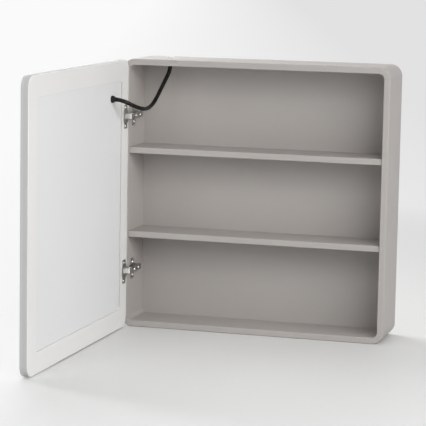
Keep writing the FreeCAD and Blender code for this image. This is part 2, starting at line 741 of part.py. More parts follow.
def hinge_arms():
    """The hinge arms: a channel over each saddle, its cranked neck and the knuckle round the hinge pin."""
    nodes = {}
    screws = []
    inner_x = f"({PIVOT_X} + neck_reach - neck_thickness / 2)"
    outer_x = f"({PIVOT_X} + neck_reach + neck_thickness / 2)"
    low_y = f"({PIVOT_Y} - neck_drop - neck_thickness / 2)"
    high_y = f"({PIVOT_Y} - neck_drop + neck_thickness / 2)"
    arm_front = f"({FRONT} + arm_start)"
    arm_rear = f"({arm_front} + arm_length)"
    underside = f"({WALL} + plate_thickness + arm_wall_gap)"
    for level, z in HINGES.items():
        knuckle_low = f"{z} - knuckle_width / 2"
        end_y = f"({arm_front} + neck_overlap)"
        neck = plate(f"arm_neck_{level}", "XY_Plane",
                     [(PIVOT_X, low_y), (outer_x, low_y), (outer_x, end_y), (inner_x, end_y),
                      (inner_x, high_y), (PIVOT_X, high_y)], knuckle_low, "knuckle_width")
        bends = (at(x=outer_x, y=low_y), at(x=inner_x, y=high_y))
        round_edges(neck, "neck_bend_radius", lambda edge: any(bend(edge) for bend in bends))
        corners = rectangle(arm_front, arm_rear, f"{z} - arm_width / 2", f"{z} + arm_width / 2")
        beam = plate(f"arm_beam_{level}", "YZ_Plane", corners, underside,
                     "arm_height - plate_thickness - arm_wall_gap", "arm_corner_radius")
        round_edges(beam, "arm_edge_radius", at(x=f"{WALL} + arm_height"))
        eye = rod(f"arm_eye_{level}", "+Z", (PIVOT_X, PIVOT_Y, knuckle_low), "knuckle_radius", "knuckle_width")
        half = "(arm_width / 2 - arm_sheet)"
        channel = box(f"arm_channel_{level}", (f"{underside} - cut_overrun", f"{WALL} + arm_height - arm_sheet"),
                      (f"{arm_front} + arm_nose", f"{arm_rear} + cut_overrun"),
                      (f"{z} - {half}", f"{z} + {half}"))
        hollows = [channel, rod(f"arm_eye_bore_{level}", "+Z", (PIVOT_X, PIVOT_Y, knuckle_low),
                                "hinge_pin_radius + hinge_pin_clearance", "knuckle_width")]
        for end, seat in arm_screw_seats(level):
            name = f"arm_screw_{level}_{end}"
            screws.append(screw(name, "-X", seat, "arm_screw"))
            hollows.append(bore(f"{name}_hole", "-X", seat, "arm_screw", "arm_sheet"))
        nodes[f"hinge_arm_{level}"] = cut(f"hinge_arm_{level}", fuse(f"arm_blank_{level}", neck, beam, eye),
                                          *hollows)
    nodes["arm_screws"] = group("arm_screws", screws)
    return nodes


def cup_screw_seats(level):
    """Seats of one hinge cup's screws on the door's inner face."""
    return seats(f"({CUP_X} + cup_screw_offset)", DOOR_INNER, HINGES[level], "z", "cup_screw_spacing")


def hinge_cups():
    """The hinge cups let into the door frame, their screws and the hinge pins."""
    nodes = {}
    screws = []
    reach = "(cup_radius + flange_rim)"
    for level, z in HINGES.items():
        half = [(f"{CUP_X} - {reach}", "flange_waist_height"),
                (f"{CUP_X} - flange_hinge_side", "flange_shoulder_height"),
                (f"{CUP_X} - flange_hinge_side", "flange_length / 2"),
                (f"{CUP_X} + flange_free_side", "flange_length / 2"),
                (f"{CUP_X} + flange_free_side", "flange_shoulder_height"),
                (f"{CUP_X} + {reach}", "flange_waist_height")]
        corners = [(x, f"{z} - {height}") for x, height in half]
        corners += [(x, f"{z} + {height}") for x, height in half[::-1]]
        flange = plate(f"cup_flange_{level}", "XZ_Plane", corners, DOOR_INNER, "flange_thickness",
                       "flange_corner_radius")
        puck = rod(f"cup_puck_{level}", "-Y", (CUP_X, DOOR_INNER, z), "cup_radius - cup_fit", "cup_depth")
        slot = "(knuckle_width / 2 + knuckle_clearance)"
        hollows = [
            box(f"cup_slot_{level}",
                (f"{CUP_X} - {reach} - cut_overrun",
                 f"{PIVOT_X} + neck_reach + neck_thickness / 2 + cup_slot_end_gap"),
                (f"{DOOR_INNER} - cup_depth + cup_floor", f"{DOOR_INNER} + flange_thickness + cut_overrun"),
                (f"{z} - {slot}", f"{z} + {slot}")),
            rod(f"cup_pin_bore_{level}", "+Z",
                (PIVOT_X, PIVOT_Y, f"{z} - hinge_pin_length / 2 - hinge_pin_end_gap"),
                "hinge_pin_radius + hinge_pin_seat", "hinge_pin_length + 2 * hinge_pin_end_gap"),
        ]
        for end, seat in cup_screw_seats(level):
            name = f"cup_screw_{level}_{end}"
            screws.append(screw(name, "-Y", (seat[0], f"({DOOR_INNER} + flange_thickness)", seat[2]),
                                "cup_screw"))
            hollows.append(bore(f"{name}_hole", "+Y", seat, "cup_screw", "flange_thickness"))
        nodes[f"hinge_cup_{level}"] = cut(f"hinge_cup_{level}", fuse(f"cup_blank_{level}", flange, puck),
                                          *hollows)
        foot = f"({z} - hinge_pin_length / 2)"
        head = f"({z} + hinge_pin_length / 2)"
        rim = f"{PIVOT_X} + hinge_pin_radius"
        pin = [(PIVOT_X, foot), (f"{rim} - hinge_pin_bevel", foot), (rim, f"{foot} + hinge_pin_bevel"),
               (rim, f"{head} - hinge_pin_bevel"), (f"{rim} - hinge_pin_bevel", head), (PIVOT_X, head)]
        nodes[f"hinge_pin_{level}"] = turned(f"hinge_pin_{level}", "XZ_Plane", pin, f"-{PIVOT_Y}", PIVOT_X)
    nodes["cup_screws"] = group("cup_screws", screws)
    return nodes


def door_frame():
    """The door's frame: a rounded board with a land for the mirror, an opening and seats for the hinge cups."""
    board = door_layer("frame_board", "0", RING_BACK, "door_thickness - light_ring_thickness")
    round_edges(board, "door_arris", at(y=DOOR_INNER))
    land = door_layer("frame_land", "(light_ring_width + mirror_edge_gap)", f"{DOOR_OUTER} + mirror_thickness",
                      "light_ring_thickness - mirror_thickness")
    opening = "(door_border + cover_ledge)"
    hollows = [
        door_layer("frame_opening", opening, f"{DOOR_OUTER} - cut_overrun", "door_thickness + 2 * cut_overrun",
                   "opening_corner_radius"),
        door_layer("frame_rabbet", "door_border", COVER_BACK, "cover_recess + cover_thickness + cut_overrun",
                   "cover_corner_radius"),
        box("lead_notch", ("-lead_notch_width / 2", "lead_notch_width / 2"),
            (RING_BACK, f"{RING_BACK} + lead_notch_depth"),
            (f"{TOP} - door_inset - {opening} - cut_overrun",
             f"{TOP} - door_inset - led_channel_inset - led_channel_width / 2")),
    ]
    for level, z in HINGES.items():
        hollows.append(rod(f"cup_bore_{level}", "-Y", (CUP_X, DOOR_INNER, z), "cup_radius", "cup_depth + cup_fit"))
        hollows += [bore(f"cup_screw_bore_{level}_{end}", "-Y", seat, "cup_screw",
                         "cup_screw_length - flange_thickness + dowel_end_gap")
                    for end, seat in cup_screw_seats(level)]
    return cut("door_frame", fuse("frame_blank", board, land), *hollows)


def light_ring():
    """The translucent ring round the mirror, with a channel in its back for the lamps."""
    blank = door_layer("ring_blank", "0", DOOR_OUTER, "light_ring_thickness")
    round_edges(blank, "light_ring_arris", at(y=DOOR_OUTER))
    inside = door_layer("ring_inside", "light_ring_width", f"{DOOR_OUTER} - cut_overrun",
                        "light_ring_thickness + 2 * cut_overrun")
    depth = (f"{RING_BACK} - led_channel_depth", "led_channel_depth + cut_overrun")
    channel = cut("ring_channel", door_layer("ring_channel_outside", "led_channel_inset", *depth),
                  door_layer("ring_channel_island", "(led_channel_inset + led_channel_width)", *depth))
    return cut("light_ring", blank, inside, channel)


def lamps():
    """The lamp boards on the frame behind the ring, one to each side, and the chips along them."""
    boards = []
    chips = []
    line = "(door_inset + led_channel_inset + led_channel_width / 2)"
    board_y = (f"{RING_BACK} - led_board_thickness", RING_BACK)
    chip_y = (f"{RING_BACK} - led_board_thickness - led_chip_height", f"{RING_BACK} - led_board_thickness")
    end = "(corner_radius + led_board_end_gap)"
    for run, length in (("upright", "cabinet_height"), ("level", "cabinet_width")):
        count = int(size(f"({length} - 2 * {end}) / led_pitch"))
        for edge in ("low", "high"):
            if run == "upright":
                across = f"({LEFT} + {line})" if edge == "low" else f"({RIGHT} - {line})"
                middle = f"({TOP} / 2)"
            else:
                across = line if edge == "low" else f"({TOP} - {line})"
                middle = "(0 * cabinet_width)"
            half = f"({length} / 2 - {end})"
            wide = (f"{across} - led_board_width / 2", f"{across} + led_board_width / 2")
            long = (f"{middle} - {half}", f"{middle} + {half}")
            spans = (wide, long) if run == "upright" else (long, wide)
            boards.append(box(f"led_board_{run}_{edge}", spans[0], board_y, spans[1]))
            for number in range(count):
                centre = f"({middle} + led_pitch * {number - (count - 1) / 2})"
                wide = (f"{across} - led_chip_width / 2", f"{across} + led_chip_width / 2")
                long = (f"{centre} - led_chip_length / 2", f"{centre} + led_chip_length / 2")
                spans = (wide, long) if run == "upright" else (long, wide)
                chips.append(box(f"led_chip_{run}_{edge}_{number}", spans[0], chip_y, spans[1]))
    return {"led_boards": group("led_boards", boards), "led_chips": group("led_chips", chips)}


def door_inside():
    """The cover behind the mirror, the grommet in it and the light's driver on its hidden side."""
    cover = door_layer("cover_blank", "(door_border + cover_clearance)", COVER_BACK, "cover_thickness",
                       "cover_corner_radius - cover_clearance")
    hole = rod("cover_grommet_hole", "-Y", (GROMMET_X, COVER_FACE, GROMMET_Z),
               "grommet_neck_radius + grommet_neck_fit", "cover_thickness")
    inside = f"{GROMMET_X} + cable_radius + grommet_bore_clearance"
    lip = f"{GROMMET_X} + grommet_lip_radius"
    neck = f"{GROMMET_X} + grommet_neck_radius"
    flange = f"{GROMMET_X} + grommet_flange_radius"
    flange_top = f"{COVER_FACE} + grommet_flange_thickness"
    collar_end = f"{flange_top} + grommet_collar_length"
    inner_end = f"({COVER_BACK} - grommet_lip_thickness)"
    socket_end = f"{inner_end} + grommet_membrane"
    lead = f"{GROMMET_X} + lead_hole_radius"
    corners = [(lead, inner_end), (lip, inner_end), (lip, COVER_BACK), (neck, COVER_BACK), (neck, COVER_FACE),
               (flange, COVER_FACE), (flange, f"{flange_top} - grommet_flange_bevel"),
               (f"{flange} - grommet_flange_bevel", flange_top),
               (f"{GROMMET_X} + grommet_collar_radius", flange_top),
               (f"{GROMMET_X} + grommet_collar_end_radius", collar_end), (inside, collar_end),
               (inside, socket_end), (lead, socket_end)]
    start = f"({GROMMET_X} + driver_from_grommet)"
    case = rectangle(start, f"{start} + driver_length", f"{GROMMET_Z} - driver_width / 2",
                     f"{GROMMET_Z} + driver_width / 2")
    return {
        "door_cover": cut("door_cover", cover, hole),
        "door_grommet": turned("door_grommet", "XY_Plane", corners, GROMMET_Z, GROMMET_X),
        "led_driver": plate("led_driver", "XZ_Plane", case, f"{COVER_BACK} - driver_height", "driver_height",
                            "driver_corner_radius"),
    }


def door():
    """The whole door, drawn closed: frame, light ring, mirror, cover, lamps and hinge cups."""
    nodes = {"door_frame": door_frame(), "light_ring": light_ring()}
    nodes["mirror_glass"] = door_layer("mirror_glass", "(light_ring_width + mirror_edge_gap)", DOOR_OUTER,
                                       "mirror_thickness")
    return nodes | lamps() | door_inside() | hinge_cups()


def export(nodes):
    """Checks every object and writes each sub-part to its own file."""
    doc.recompute()
    for item in doc.Objects:
        faults = [state for state in item.State if state in ("Invalid", "Error")]
        if faults:
            raise RuntimeError(f"{item.Label}: {faults}")
    os.makedirs("parts", exist_ok=True)
    for name, item in nodes.items():
        item.Label = name
        if item.Shape.isNull() or not item.Shape.isValid():
            raise RuntimeError(f"{name}: shape not valid")
        item.Shape.exportStep(f"parts/{name}.step")


fixed = carcass() | hangers() | gland() | cable() | hinge_plates() | hinge_arms()
swinging = door()
pivot = FreeCAD.Vector(size(PIVOT_X), size(PIVOT_Y), 0)
turn = FreeCAD.Rotation(Z_AXIS, -size("door_open_angle"))
for piece in swinging.values():
    piece.Placement = FreeCAD.Placement(FreeCAD.Vector(), turn, pivot)
export(fixed | swinging)
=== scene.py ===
"""Dresses the mirror cabinet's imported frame: finishes, cable sleeve, floor, light and camera."""

import logging
import math
from dataclasses import dataclass
from enum import Enum

import bpy
import numpy as np
from mathutils import Matrix, Vector


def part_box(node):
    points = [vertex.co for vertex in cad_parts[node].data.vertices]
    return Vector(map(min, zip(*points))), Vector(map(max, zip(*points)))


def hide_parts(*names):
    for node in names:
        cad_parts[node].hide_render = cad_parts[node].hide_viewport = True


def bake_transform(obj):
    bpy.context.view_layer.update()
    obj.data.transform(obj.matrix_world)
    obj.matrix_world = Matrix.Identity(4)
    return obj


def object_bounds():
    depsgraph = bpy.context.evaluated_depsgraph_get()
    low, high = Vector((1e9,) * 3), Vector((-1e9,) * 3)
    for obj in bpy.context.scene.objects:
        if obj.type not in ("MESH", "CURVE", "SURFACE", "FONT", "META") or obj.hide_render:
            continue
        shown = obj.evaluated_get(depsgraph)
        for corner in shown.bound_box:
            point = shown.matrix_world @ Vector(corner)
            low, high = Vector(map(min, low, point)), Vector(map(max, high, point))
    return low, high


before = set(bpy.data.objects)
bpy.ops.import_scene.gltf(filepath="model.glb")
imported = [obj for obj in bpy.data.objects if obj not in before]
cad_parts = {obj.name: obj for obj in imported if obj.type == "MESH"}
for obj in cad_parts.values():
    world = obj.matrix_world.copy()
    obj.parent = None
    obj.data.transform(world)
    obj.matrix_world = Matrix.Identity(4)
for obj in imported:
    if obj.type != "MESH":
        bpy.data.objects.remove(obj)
CAD_BOX = [list(corner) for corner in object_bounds()]

Colour = tuple[float, float, float]
Point = tuple[float, float, float]
Span = tuple[float, float]
Socket = bpy.types.NodeSocket
log = logging.getLogger("mirror_cabinet")

# The greys of a cloudy pattern that most of it lies between, and the whole range of a mask.
MAIN_GREYS: Span = (0.3, 0.7)
WHOLE: Span = (0.0, 1.0)

# Places of the colour sockets on the mix node.
MIX_FACTOR = 0
MIX_FIRST = 6
MIX_SECOND = 7
MIX_RESULT = 2


class Body(str, Enum):
    """The two bodies of the frame."""

    CABINET = "cabinet"
    DOOR = "door"


class Axis(str, Enum):
    """One of the frame's axes."""

    X = "X"
    Y = "Y"
    Z = "Z"


class Place(str, Enum):
    """What a pattern reads: the object's own coordinates, the way its faces look, or its UV map."""

    OBJECT = "Object"
    NORMAL = "Normal"
    UV = "UV"


class Sum(str, Enum):
    """A sum on one, two or three values."""

    ABSOLUTE = "ABSOLUTE"
    ADD = "ADD"
    LESS_THAN = "LESS_THAN"
    MAXIMUM = "MAXIMUM"
    MULTIPLY = "MULTIPLY"
    MULTIPLY_ADD = "MULTIPLY_ADD"
    SUBTRACT = "SUBTRACT"


class Run(Enum):
    """Direction of a grain, as the stretch of its pattern along X, Y and Z."""

    ACROSS = (0.06, 1.0, 1.0)
    UPRIGHT = (1.0, 1.0, 0.06)
    EVEN = (1.0, 1.0, 1.0)


@dataclass(frozen=True)
class Clouds:
    """A cloudy pattern: clouds to a metre, finer layers, and the pattern's scale along each axis."""

    scale: float
    layers: float = 2.0
    stretch: Point = Run.EVEN.value
    place: Place = Place.OBJECT


@dataclass(frozen=True)
class Seam:
    """A joint line on a plane across one axis, with its share of the paint's tone and its reach: a dark
    joint, or painted shade in a gap.
    """

    axis: Axis
    place: float
    tone: float
    reach: float = 0.0012


@dataclass(frozen=True)
class Band:
    """Another colour on a board's edges, left off the level faces of its core.

    The core lies within core_half of the height core_middle, and dull is the roughness that the edges add.
    """

    colour: Colour
    core_middle: float
    core_half: float
    dull: float = 0.35


def shade(colour: Colour, amount: float = 1.0) -> tuple[float, float, float, float]:
    """Gives a colour times an amount, with full alpha."""
    return tuple(min(1.0, part * amount) for part in colour) + (1.0,)


def showing_rays(tree: bpy.types.NodeTree) -> Socket:
    """Marks the rays that show a surface, and not those that carry its light to other things.

    Args:
        tree: node tree of a material or a world.

    Returns:
        1 on camera, glossy and transmission rays, and 0 on the others.
    """
    path = tree.nodes.new("ShaderNodeLightPath")
    shown = path.outputs["Is Camera Ray"]
    for ray in ("Is Glossy Ray", "Is Transmission Ray"):
        most = tree.nodes.new("ShaderNodeMath")
        most.operation = Sum.MAXIMUM.value
        tree.links.new(shown, most.inputs[0])
        tree.links.new(path.outputs[ray], most.inputs[1])
        shown = most.outputs[0]
    return shown


class Graph:
    """The node tree of one material, with short calls for the nodes that the finishes use."""

    def __init__(self, name: str) -> None:
        """Starts a material with one surface shader.

        Args:
            name: the material's name.
        """
        self.material = bpy.data.materials.new(name)
        self.material.use_nodes = True
        self.tree = self.material.node_tree
        self.tree.nodes.clear()
        self.output = self.node("ShaderNodeOutputMaterial")
        self.shader = self.node("ShaderNodeBsdfPrincipled")
        self.link(self.shader.outputs[0], self.output.inputs["Surface"])
        self.places = self.node("ShaderNodeTexCoord")

    def node(self, kind: str) -> bpy.types.Node:
        """Adds a node of a kind."""
        return self.tree.nodes.new(kind)

    def link(self, source: Socket, target: Socket) -> None:
        """Joins two sockets."""
        self.tree.links.new(source, target)

    def fix(self, **values: float) -> None:
        """Sets plain values on the shader's own sockets.

        Args:
            values: socket names, with underscores for spaces, and their values.
        """
        for name, value in values.items():
            self.shader.inputs[name.replace("_", " ")].default_value = value

    def feed(self, name: str, source: Socket) -> None:
        """Links a source to one of the shader's sockets."""
        self.link(source, self.shader.inputs[name])

    def figure(self, kind: Sum, *terms: Socket | float) -> Socket:
        """Works out one sum.

        Args:
            kind: which sum.
            terms: sockets or plain numbers, in order.

        Returns:
            The result.
        """
        total = self.node("ShaderNodeMath")
        total.operation = kind.value
        for socket, term in zip(total.inputs, terms):
            if isinstance(term, Socket):
                self.link(term, socket)
            else:
                socket.default_value = term
        return total.outputs[0]

    def axis(self, axis: Axis, place: Place = Place.OBJECT) -> Socket:
        """Gives one axis of the coordinates.

        Args:
            axis: which axis.
            place: which coordinates are read.

        Returns:
            The value along the axis.
        """
        parts = self.node("ShaderNodeSeparateXYZ")
        self.link(self.places.outputs[place.value], parts.inputs[0])
        return parts.outputs[axis.value]

    def noise(self, clouds: Clouds) -> Socket:
        """Gives a cloudy pattern from 0 to 1.

        Args:
            clouds: the pattern's form.

        Returns:
            The pattern's grey value.
        """
        mapping = self.node("ShaderNodeMapping")
        mapping.inputs["Scale"].default_value = clouds.stretch
        self.link(self.places.outputs[clouds.place.value], mapping.inputs["Vector"])
        texture = self.node("ShaderNodeTexNoise")
        texture.inputs["Scale"].default_value = clouds.scale
        texture.inputs["Detail"].default_value = clouds.layers
        self.link(mapping.outputs[0], texture.inputs["Vector"])
        return texture.outputs["Fac"]

    def spread(self, source: Socket, low: float, high: float, span: Span = MAIN_GREYS) -> Socket:
        """Maps a span of a source's values onto low to high, held at the ends.

        Args:
            source: the value to map.
            low: the result at the span's start.
            high: the result at the span's end.
            span: the source's values that give low and high.

        Returns:
            The mapped value.
        """
        chart = self.node("ShaderNodeMapRange")
        self.link(source, chart.inputs["Value"])
        for name, value in zip(("From Min", "From Max", "To Min", "To Max"), span + (low, high)):
            chart.inputs[name].default_value = value
        return chart.outputs["Result"]

    def blend(self, factor: Socket, first: Socket | tuple, second: Socket | tuple) -> Socket:
        """Mixes two colours, each a colour or a socket.

        Args:
            factor: 0 for the first, 1 for the second.
            first: first colour.
            second: second colour.

        Returns:
            The mixed colour.
        """
        mix = self.node("ShaderNodeMix")
        mix.data_type = "RGBA"
        self.link(factor, mix.inputs[MIX_FACTOR])
        for place, colour in ((MIX_FIRST, first), (MIX_SECOND, second)):
            if isinstance(colour, Socket):
                self.link(colour, mix.inputs[place])
            else:
                mix.inputs[place].default_value = colour
        return mix.outputs[MIX_RESULT]

    def facing(self, axis: Axis, span: Span = (0.5, 0.8)) -> Socket:
        """Gives 1 on faces that look along one of the object's own axes, either way, and 0 on the others.

        Args:
            axis: which axis.
            span: shares of the axis in a face's direction at which it starts to count and counts in full.

        Returns:
            The mask.
        """
        along = self.figure(Sum.ABSOLUTE, self.axis(axis, Place.NORMAL))
        return self.spread(along, 0.0, 1.0, span)

    def distance(self, axis: Axis, place: float) -> Socket:
        """Gives the distance from a plane across one of the object's axes.

        Args:
            axis: the axis that the plane cuts.
            place: where the plane cuts it.

        Returns:
            The distance in metres.
        """
        return self.figure(Sum.ABSOLUTE, self.figure(Sum.SUBTRACT, self.axis(axis), place))

    def seam(self, seam: Seam) -> Socket:
        """Gives 1 on a joint line's plane and near it, falling to 0 over the outer half of its reach."""
        return self.spread(self.distance(seam.axis, seam.place), 1.0, 0.0, (seam.reach / 2, seam.reach))

    def relief(self, *layers: tuple[Socket, float]) -> None:
        """Stacks bump layers onto the shader's normal.

        Args:
            layers: pairs of a height pattern and its depth in metres.
        """
        below = None
        for height, depth in layers:
            bump = self.node("ShaderNodeBump")
            bump.inputs["Distance"].default_value = depth
            self.link(height, bump.inputs["Height"])
            if below is not None:
                self.link(below, bump.inputs["Normal"])
            below = bump.outputs["Normal"]
        self.feed("Normal", below)


@dataclass(frozen=True)
class Lacquer:
    """Sprayed paint on board or sheet: a soft drift of tone, fine speckle and orange peel."""

    name: str
    colour: Colour
    roughness: float = 0.52
    shine: float = 0.2
    drift: float = 0.03
    peel: float = 330.0
    depth: float = 0.00005
    band: Band | None = None
    seams: tuple[Seam, ...] = ()
    clouds: Clouds = Clouds(2.6, 4.0)
    patches: Clouds = Clouds(11.0, 5.0)
    patch_polish: float = 0.05
    patch_dull: float = 0.07
    speckle: Clouds = Clouds(1500.0, 1.0)
    speckle_greys: Span = (0.5, 0.8)
    speckle_share: float = 0.12
    speckle_tone: float = 0.8
    speckle_fineness: float = 5.0

    def edges(self, graph: Graph, tone: Socket, dull: Socket) -> tuple[Socket, Socket]:
        """Lays the band over all faces but the broad ones, which look along X, and the core's level ones.

        Args:
            graph: the material's nodes.
            tone: the board's own colour.
            dull: the board's own roughness.

        Returns:
            Colour and roughness with the band.
        """
        band = self.band
        inside = graph.figure(Sum.LESS_THAN, graph.distance(Axis.Z, band.core_middle), band.core_half)
        ledge = graph.figure(Sum.MULTIPLY, graph.facing(Axis.Z), inside)
        plain = graph.figure(Sum.MAXIMUM, graph.facing(Axis.X), ledge)
        rougher = graph.spread(plain, band.dull, 0.0, WHOLE)
        return graph.blend(plain, shade(band.colour), tone), graph.figure(Sum.ADD, dull, rougher)

    def make(self) -> bpy.types.Material:
        """Builds the material, with its band and joint lines, dark joints or painted shade in a gap, where
        there are any.

        Returns:
            The material.
        """
        graph = Graph(self.name)
        graph.fix(Specular_IOR_Level=self.shine)
        drift = graph.spread(graph.noise(self.clouds), 0.0, 1.0)
        tone = graph.blend(drift, shade(self.colour, 1 - self.drift), shade(self.colour, 1 + self.drift / 2))
        dull = graph.spread(graph.noise(self.patches), self.roughness - self.patch_polish,
                            self.roughness + self.patch_dull)
        if self.band:
            tone, dull = self.edges(graph, tone, dull)
        for seam in self.seams:
            tone = graph.blend(graph.seam(seam), tone, shade(self.colour, seam.tone))
        speckle = graph.noise(self.speckle)
        specks = graph.spread(speckle, 0.0, self.speckle_share, self.speckle_greys)
        graph.feed("Base Color", graph.blend(specks, tone, shade(self.colour, self.speckle_tone)))
        graph.feed("Roughness", dull)
        graph.relief((graph.noise(Clouds(self.peel)), self.depth),
                     (speckle, self.depth / self.speckle_fineness))
        return graph.material


@dataclass(frozen=True)
class Metal:
    """Plated or drawn metal: grain along one direction, stains and small dents, and a painted highlight where
    a front colour is given.
    """

    name: str
    colour: Colour
    roughness: float = 0.3
    run: Run = Run.UPRIGHT
    stain: float = 0.18
    # Painted highlight: a near-white colour on faces that look along Y, duller and less metallic, standing in
    # for a lamp's reflection.
    front: Colour | None = None
    grain: float = 1400.0
    grain_layers: float = 3.0
    grain_dull: float = 0.16
    grain_depth: float = 0.000012
    clouds: Clouds = Clouds(70.0, 4.0)
    cloud_polish: float = 0.12
    stain_greys: Span = (0.35, 0.75)
    dents: Clouds = Clouds(260.0)
    dent_depth: float = 0.00002
    highlight_dull: float = 0.25
    highlight_metallic: float = 0.3

    def make(self) -> bpy.types.Material:
        """Builds the material, with the front colour as a painted highlight on faces that look along Y where
        there is one.

        Returns:
            The material.
        """
        graph = Graph(self.name)
        graph.fix(Metallic=1.0)
        lines = graph.noise(Clouds(self.grain, self.grain_layers, self.run.value))
        clouds = graph.noise(self.clouds)
        stains = graph.spread(clouds, 0.0, 1.0, self.stain_greys)
        tone = graph.blend(stains, shade(self.colour), shade(self.colour, 1 - self.stain))
        cloudy = graph.spread(clouds, self.roughness - self.cloud_polish, self.roughness)
        dull = graph.figure(Sum.MULTIPLY_ADD, lines, self.grain_dull, cloudy)
        if self.front:
            # Painted highlight on the faces that look along Y.
            ahead = graph.facing(Axis.Y)
            tone = graph.blend(ahead, tone, shade(self.front))
            dull = graph.figure(Sum.MULTIPLY_ADD, ahead, self.highlight_dull, dull)
            graph.feed("Metallic", graph.spread(ahead, 1.0, self.highlight_metallic, WHOLE))
        graph.feed("Base Color", tone)
        graph.feed("Roughness", dull)
        graph.relief((lines, self.grain_depth), (graph.noise(self.dents), self.dent_depth))
        return graph.material


@dataclass(frozen=True)
class Moulded:
    """Moulded plastic or rubber: a fine eroded grain, with a little dust or bloom."""

    name: str
    colour: Colour
    roughness: float = 0.5
    shine: float = 0.4
    edge: Colour | None = None
    grain: float = 1900.0
    depth: float = 0.00003
    bloom: Colour = (0.5, 0.5, 0.5)
    bloom_share: float = 0.08
    bloom_clouds: Clouds = Clouds(55.0, 6.0)
    bloom_greys: Span = (0.45, 0.75)
    patches: Clouds = Clouds(30.0, 4.0)
    patch_dull: float = 0.08

    def make(self) -> bpy.types.Material:
        """Builds the material, with the edge's colour on faces that look along Y or Z where there is one.

        Returns:
            The material.
        """
        graph = Graph(self.name)
        graph.fix(Specular_IOR_Level=self.shine)
        dust = graph.spread(graph.noise(self.bloom_clouds), 0.0, self.bloom_share, self.bloom_greys)
        tone = graph.blend(dust, shade(self.colour), shade(self.bloom))
        if self.edge:
            tone = graph.blend(graph.facing(Axis.X), shade(self.edge), tone)
        graph.feed("Base Color", tone)
        graph.feed("Roughness", graph.spread(graph.noise(self.patches), self.roughness - self.patch_dull,
                                             self.roughness + self.patch_dull))
        graph.relief((graph.noise(Clouds(self.grain)), self.depth))
        return graph.material


@dataclass(frozen=True)
class Fibre:
    """Bare board or wood: pressed or grown fibres along one direction, with darker flecks."""

    name: str
    colour: Colour
    dark: Colour
    run: Run = Run.ACROSS
    strand: float = 500.0
    strand_layers: float = 6.0
    strand_depth: float = 0.00012
    roughness: Span = (0.62, 0.85)
    fleck_ratio: float = 1.7
    fleck_greys: Span = (0.56, 0.7)
    fleck_share: float = 0.5
    fleck_tone: float = 0.7
    fleck_depth: float = 0.00004

    def make(self) -> bpy.types.Material:
        """Builds the material.

        Returns:
            The material.
        """
        graph = Graph(self.name)
        strands = graph.noise(Clouds(self.strand, self.strand_layers, self.run.value))
        flecks = graph.noise(Clouds(self.strand * self.fleck_ratio))
        tone = graph.blend(graph.spread(strands, 0.0, 1.0), shade(self.dark), shade(self.colour))
        specks = graph.spread(flecks, 0.0, self.fleck_share, self.fleck_greys)
        graph.feed("Base Color", graph.blend(specks, tone, shade(self.dark, self.fleck_tone)))
        graph.feed("Roughness", graph.spread(strands, *self.roughness))
        graph.relief((strands, self.strand_depth), (flecks, self.fleck_depth))
        return graph.material


@dataclass(frozen=True)
class Silvered:
    """Silvered float glass: bright on its broad faces, with faint wipe marks, and green at its cut edges."""

    name: str
    colour: Colour
    edge: Colour
    broad_span: Span = (0.4, 0.6)
    wipes: Clouds = Clouds(7.0, 5.0, (1.0, 1.0, 0.35))
    wipe_greys: Span = (0.4, 0.8)
    roughness: Span = (0.012, 0.05)
    waves: Clouds = Clouds(3.0, 1.0)
    wave_depth: float = 0.00002

    def make(self) -> bpy.types.Material:
        """Builds the material.

        Returns:
            The material.
        """
        graph = Graph(self.name)
        broad = graph.facing(Axis.X, self.broad_span)
        graph.feed("Base Color", graph.blend(broad, shade(self.edge), shade(self.colour)))
        graph.feed("Metallic", broad)
        graph.feed("Roughness", graph.spread(graph.noise(self.wipes), *self.roughness, self.wipe_greys))
        graph.relief((graph.noise(self.waves), self.wave_depth))
        return graph.material


@dataclass(frozen=True)
class Sheath:
    """Extruded cable sheath: fine drawn lines along its length and a little dust."""

    name: str
    colour: Colour
    roughness: float = 0.28
    shine: float = 0.16
    drawn: Clouds = Clouds(1.0, 3.0, (60.0, 9.0, 1.0), Place.UV)
    drawn_depth: float = 0.00003
    dust: Clouds = Clouds(1.0, 5.0, (5.0, 140.0, 1.0), Place.UV)
    dust_colour: Colour = (0.35, 0.35, 0.34)
    dust_greys: Span = (0.4, 0.8)
    dust_share: float = 0.05
    dust_polish: float = 0.06
    dust_dull: float = 0.1
    grain: Clouds = Clouds(1600.0, 1.0)
    grain_depth: float = 0.000015

    def make(self) -> bpy.types.Material:
        """Builds the material.

        Returns:
            The material.
        """
        graph = Graph(self.name)
        graph.fix(Specular_IOR_Level=self.shine)
        dust = graph.noise(self.dust)
        film = graph.spread(dust, 0.0, self.dust_share, self.dust_greys)
        graph.feed("Base Color", graph.blend(film, shade(self.colour), shade(self.dust_colour)))
        graph.feed("Roughness", graph.spread(dust, self.roughness - self.dust_polish,
                                             self.roughness + self.dust_dull))
        graph.relief((graph.noise(self.drawn), self.drawn_depth), (graph.noise(self.grain), self.grain_depth))
        return graph.material


